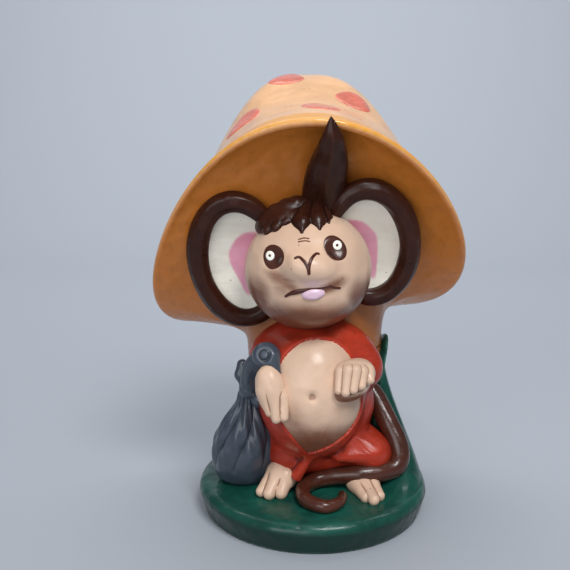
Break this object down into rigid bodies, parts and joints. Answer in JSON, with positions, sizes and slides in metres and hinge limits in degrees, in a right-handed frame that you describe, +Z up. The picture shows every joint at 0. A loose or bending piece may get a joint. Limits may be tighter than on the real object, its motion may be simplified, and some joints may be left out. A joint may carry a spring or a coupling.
{
  "type": "ceramic mushroom figurine",
  "caption": "Glazed ceramic ornament: a big-eared creature in a red robe holds a tied sack and sits under a tilted, spotted mushroom cap on a round green plinth.",
  "frame": {"origin": "centre of the drain hole's mouth, in the flat underside of the plinth", "axes": "+Z up along the plinth's axis; the figure faces -Y; +X is the figure's left"},
  "size_m": [0.127, 0.0992, 0.1766],
  "materials": {
    "green_glaze": "gloss teal green paint under clear glaze",
    "orange_glaze": "gloss orange paint, paler on the crown and browner underneath",
    "coral_glaze": "gloss coral red paint",
    "red_glaze": "gloss brick red paint",
    "skin_glaze": "gloss pale peach paint with brown airbrushed shading",
    "cream_glaze": "gloss cream paint with airbrushed pink inside the ears",
    "brown_glaze": "gloss dark brown paint",
    "slate_glaze": "gloss slate grey paint",
    "lip_glaze": "gloss pale pink paint"
  },
  "bodies": {
    "root": {"plinth": "green_glaze", "grass_bank": "green_glaze", "stalk": "orange_glaze", "cap": "orange_glaze", "crown_spots": "coral_glaze", "robe": "red_glaze", "belly": "skin_glaze", "head": "skin_glaze", "left_ear": "cream_glaze", "right_ear": "cream_glaze", "left_hair_roll": "brown_glaze", "right_hair_roll": "brown_glaze", "fringe": "brown_glaze", "topknot": "brown_glaze", "left_eye_patch": "brown_glaze", "right_eye_patch": "brown_glaze", "left_eyeball": "cream_glaze", "right_eyeball": "cream_glaze", "nose_line": "brown_glaze", "mouth_line": "brown_glaze", "lower_lip": "lip_glaze", "left_hand": "skin_glaze", "right_hand": "skin_glaze", "left_foot": "skin_glaze", "right_foot": "skin_glaze", "tail": "brown_glaze", "sack": "slate_glaze", "sack_knot": "slate_glaze", "sack_strap": "slate_glaze", "sack_ruffle": "slate_glaze"}
  },
  "joints": []
}
